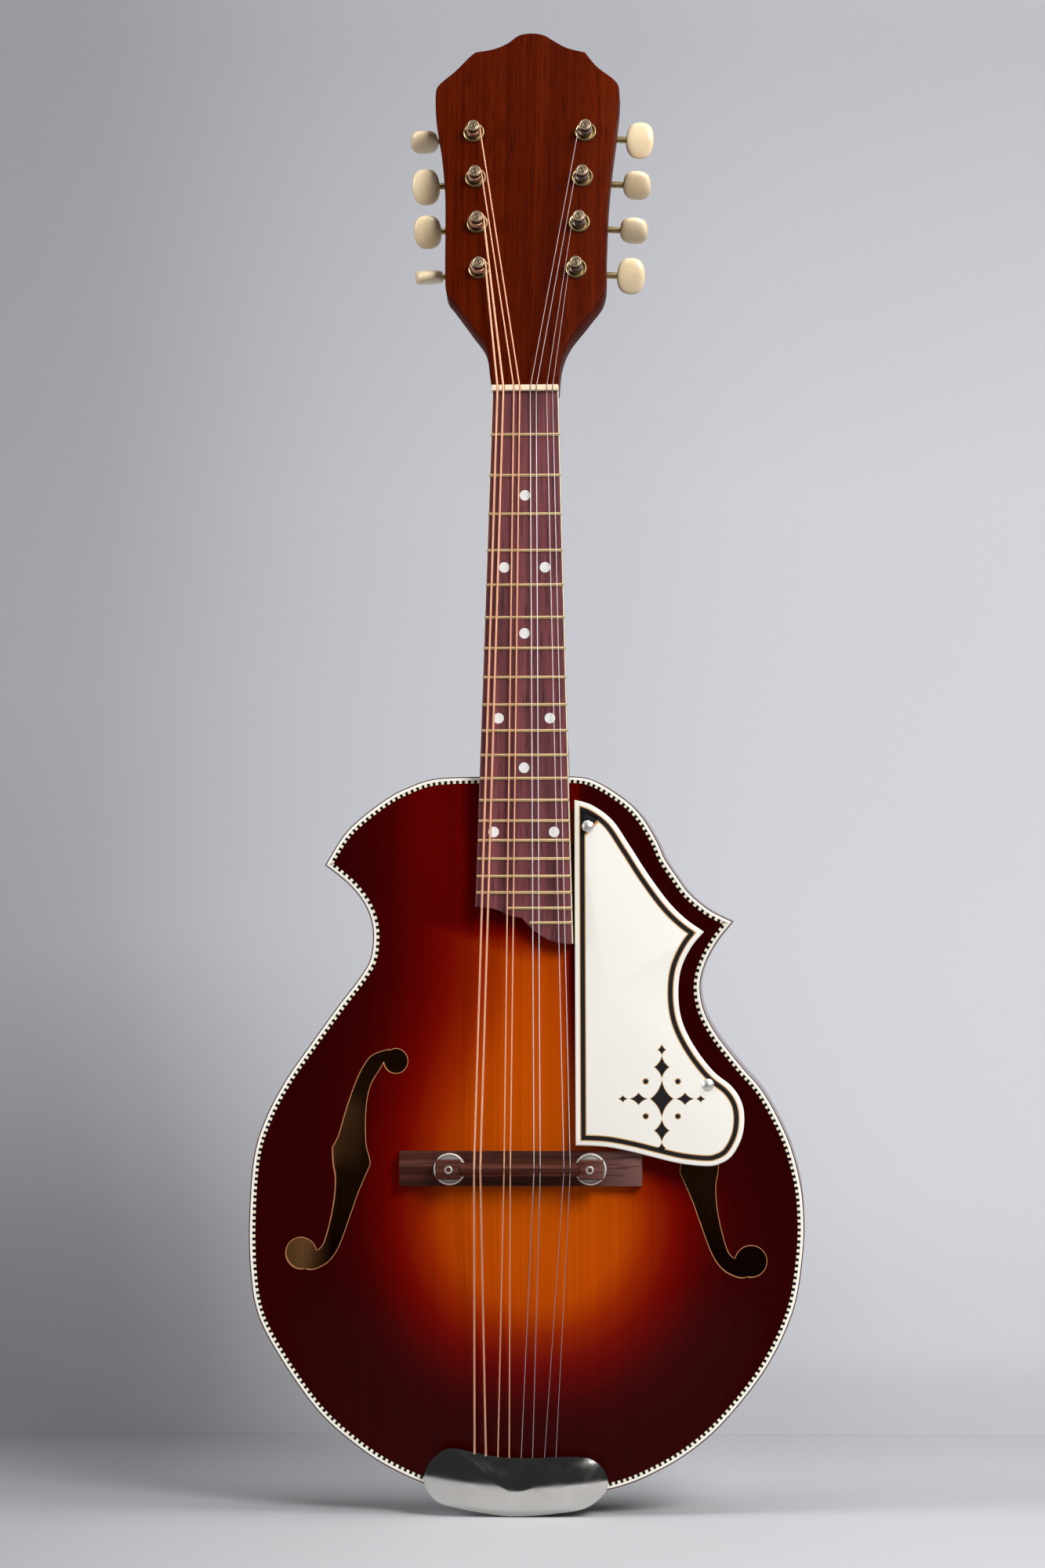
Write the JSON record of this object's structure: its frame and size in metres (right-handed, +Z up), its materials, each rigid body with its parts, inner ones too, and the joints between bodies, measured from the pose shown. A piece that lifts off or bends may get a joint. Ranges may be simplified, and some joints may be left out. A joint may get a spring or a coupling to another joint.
{
  "type": "archtop mandolin",
  "caption": "Archtop mandolin with a two-point sunburst body, f-holes, raised pickguard, adjustable bridge and geared tuning machines.",
  "frame": {"origin": "where the fretboard's face meets the nut, on the centre line, at the height of a wall hanger's arms", "axes": "+Z up along the neck towards the head, +X towards the treble side, -Y towards the front of the instrument"},
  "size_m": [0.251, 0.1048, 0.6786],
  "materials": {
    "spruce_top": "gloss lacquer over a red and orange sunburst",
    "finished_wood": "gloss lacquer over dark red stain",
    "mahogany": "satin lacquer over red brown stain",
    "rosewood_board": "oiled, open pores",
    "rosewood_bridge": "oiled",
    "inner_wood": "raw",
    "binding": "gloss cream with black checks",
    "ivory": "gloss",
    "cream_plastic": "satin, slightly aged",
    "nickel": "polished nickel plate",
    "aged_brass": "aged, dull",
    "bronze": "bright wound bronze",
    "string_steel": "plain tinned wire"
  },
  "bodies": {
    "root": {"top_plate": "spruce_top", "back_plate": "finished_wood", "sides": "finished_wood", "neck": "mahogany", "fretboard": "rosewood_board", "nut": "ivory", "top_binding": "binding", "back_binding": "binding", "top_lining": "inner_wood", "back_lining": "inner_wood", "neck_block": "inner_wood", "tail_block": "inner_wood", "tone_bar_bass": "inner_wood", "tone_bar_treble": "inner_wood", "bridge_base": "rosewood_bridge", "bridge_stud_bass": "nickel", "bridge_stud_treble": "nickel", "tailpiece_plate": "nickel", "pickguard": "ivory", "pickguard_post": "nickel", "pickguard_screw_upper": "nickel", "pickguard_screw_lower": "nickel", "string_1": "bronze", "string_2": "bronze", "string_3": "bronze", "string_4": "bronze", "string_5": "string_steel", "string_6": "string_steel", "string_7": "string_steel", "string_8": "string_steel", "tuner_plate_bass": "aged_brass", "tuner_plate_treble": "aged_brass"},
    "saddle": {"bridge_saddle": "rosewood_bridge"},
    "tail_cover": {"tailpiece_cover": "nickel"},
    "thumbwheel_bass": {"bridge_thumbwheel_bass": "nickel"},
    "post_bass_1": {"tuner_post_bass_1": "aged_brass"},
    "key_bass_1": {"tuner_worm_bass_1": "aged_brass", "tuner_button_bass_1": "cream_plastic"},
    "post_bass_2": {"tuner_post_bass_2": "aged_brass"},
    "key_bass_2": {"tuner_worm_bass_2": "aged_brass", "tuner_button_bass_2": "cream_plastic"},
    "post_bass_3": {"tuner_post_bass_3": "aged_brass"},
    "key_bass_3": {"tuner_worm_bass_3": "aged_brass", "tuner_button_bass_3": "cream_plastic"},
    "post_bass_4": {"tuner_post_bass_4": "aged_brass"},
    "key_bass_4": {"tuner_worm_bass_4": "aged_brass", "tuner_button_bass_4": "cream_plastic"},
    "thumbwheel_treble": {"bridge_thumbwheel_treble": "nickel"},
    "post_treble_1": {"tuner_post_treble_1": "aged_brass"},
    "key_treble_1": {"tuner_worm_treble_1": "aged_brass", "tuner_button_treble_1": "cream_plastic"},
    "post_treble_2": {"tuner_post_treble_2": "aged_brass"},
    "key_treble_2": {"tuner_worm_treble_2": "aged_brass", "tuner_button_treble_2": "cream_plastic"},
    "post_treble_3": {"tuner_post_treble_3": "aged_brass"},
    "key_treble_3": {"tuner_worm_treble_3": "aged_brass", "tuner_button_treble_3": "cream_plastic"},
    "post_treble_4": {"tuner_post_treble_4": "aged_brass"},
    "key_treble_4": {"tuner_worm_treble_4": "aged_brass", "tuner_button_treble_4": "cream_plastic"}
  },
  "joints": [
    {"name": "saddle_lift", "type": "slide", "parent": "root", "child": "saddle", "axis": [0, -1, 0], "range_m": [-0.0012, 0.002], "deforming": ["string_1", "string_2", "string_3", "string_4", "string_5", "string_6", "string_7", "string_8"]},
    {"name": "thumbwheel_bass_turn", "type": "hinge", "parent": "saddle", "child": "thumbwheel_bass", "pos_m": [-0.0331, -0.0223, -0.35065], "axis": [0, -1, 0], "range_deg": [-541, 901]},
    {"name": "thumbwheel_treble_turn", "type": "hinge", "parent": "saddle", "child": "thumbwheel_treble", "pos_m": [0.0301, -0.0223, -0.35065], "axis": [0, -1, 0], "range_deg": [-541, 901]},
    {"name": "tail_cover_off", "type": "slide", "parent": "root", "child": "tail_cover", "axis": [0, -1, 0], "range_m": [0, 0.04]},
    {"name": "key_bass_1_turn", "type": "hinge", "parent": "root", "child": "key_bass_1", "pos_m": [-0.02254, 0.04474, 0.05776], "axis": [0.9986, 0.0157, 0.0499], "continuous": true},
    {"name": "post_bass_1_turn", "type": "hinge", "parent": "root", "child": "post_bass_1", "pos_m": [-0.0222, 0.02263, 0.05782], "axis": [0, 0.9537, -0.3007], "continuous": true},
    {"name": "key_bass_2_turn", "type": "hinge", "parent": "root", "child": "key_bass_2", "pos_m": [-0.02374, 0.05158, 0.07948], "axis": [0.9986, 0.0157, 0.0499], "continuous": true},
    {"name": "post_bass_2_turn", "type": "hinge", "parent": "root", "child": "post_bass_2", "pos_m": [-0.02339, 0.02948, 0.07953], "axis": [0, 0.9537, -0.3007], "continuous": true},
    {"name": "key_bass_3_turn", "type": "hinge", "parent": "root", "child": "key_bass_3", "pos_m": [-0.02493, 0.05843, 0.10119], "axis": [0.9986, 0.0157, 0.0499], "continuous": true},
    {"name": "post_bass_3_turn", "type": "hinge", "parent": "root", "child": "post_bass_3", "pos_m": [-0.02459, 0.03632, 0.10125], "axis": [0, 0.9537, -0.3007], "continuous": true},
    {"name": "key_bass_4_turn", "type": "hinge", "parent": "root", "child": "key_bass_4", "pos_m": [-0.02612, 0.06528, 0.12291], "axis": [0.9986, 0.0157, 0.0499], "continuous": true},
    {"name": "post_bass_4_turn", "type": "hinge", "parent": "root", "child": "post_bass_4", "pos_m": [-0.02578, 0.04317, 0.12296], "axis": [0, 0.9537, -0.3007], "continuous": true},
    {"name": "key_treble_1_turn", "type": "hinge", "parent": "root", "child": "key_treble_1", "pos_m": [0.02254, 0.04474, 0.05776], "axis": [0.9986, -0.0157, -0.0499], "continuous": true},
    {"name": "post_treble_1_turn", "type": "hinge", "parent": "root", "child": "post_treble_1", "pos_m": [0.0222, 0.02263, 0.05782], "axis": [0, 0.9537, -0.3007], "continuous": true},
    {"name": "key_treble_2_turn", "type": "hinge", "parent": "root", "child": "key_treble_2", "pos_m": [0.02374, 0.05158, 0.07948], "axis": [0.9986, -0.0157, -0.0499], "continuous": true},
    {"name": "post_treble_2_turn", "type": "hinge", "parent": "root", "child": "post_treble_2", "pos_m": [0.02339, 0.02948, 0.07953], "axis": [0, 0.9537, -0.3007], "continuous": true},
    {"name": "key_treble_3_turn", "type": "hinge", "parent": "root", "child": "key_treble_3", "pos_m": [0.02493, 0.05843, 0.10119], "axis": [0.9986, -0.0157, -0.0499], "continuous": true},
    {"name": "post_treble_3_turn", "type": "hinge", "parent": "root", "child": "post_treble_3", "pos_m": [0.02459, 0.03632, 0.10125], "axis": [0, 0.9537, -0.3007], "continuous": true},
    {"name": "key_treble_4_turn", "type": "hinge", "parent": "root", "child": "key_treble_4", "pos_m": [0.02612, 0.06528, 0.12291], "axis": [0.9986, -0.0157, -0.0499], "continuous": true},
    {"name": "post_treble_4_turn", "type": "hinge", "parent": "root", "child": "post_treble_4", "pos_m": [0.02578, 0.04317, 0.12296], "axis": [0, 0.9537, -0.3007], "continuous": true}
  ],
  "couplings": [
    {"joint": "thumbwheel_bass_turn", "follows": "saddle_lift", "rad_per_m": 7854},
    {"joint": "thumbwheel_treble_turn", "follows": "saddle_lift", "rad_per_m": 7854},
    {"joint": "post_bass_1_turn", "follows": "key_bass_1_turn", "ratio": -0.083333},
    {"joint": "post_bass_2_turn", "follows": "key_bass_2_turn", "ratio": -0.083333},
    {"joint": "post_bass_3_turn", "follows": "key_bass_3_turn", "ratio": -0.083333},
    {"joint": "post_bass_4_turn", "follows": "key_bass_4_turn", "ratio": -0.083333},
    {"joint": "post_treble_1_turn", "follows": "key_treble_1_turn", "ratio": -0.083333},
    {"joint": "post_treble_2_turn", "follows": "key_treble_2_turn", "ratio": -0.083333},
    {"joint": "post_treble_3_turn", "follows": "key_treble_3_turn", "ratio": -0.083333},
    {"joint": "post_treble_4_turn", "follows": "key_treble_4_turn", "ratio": -0.083333}
  ]
}
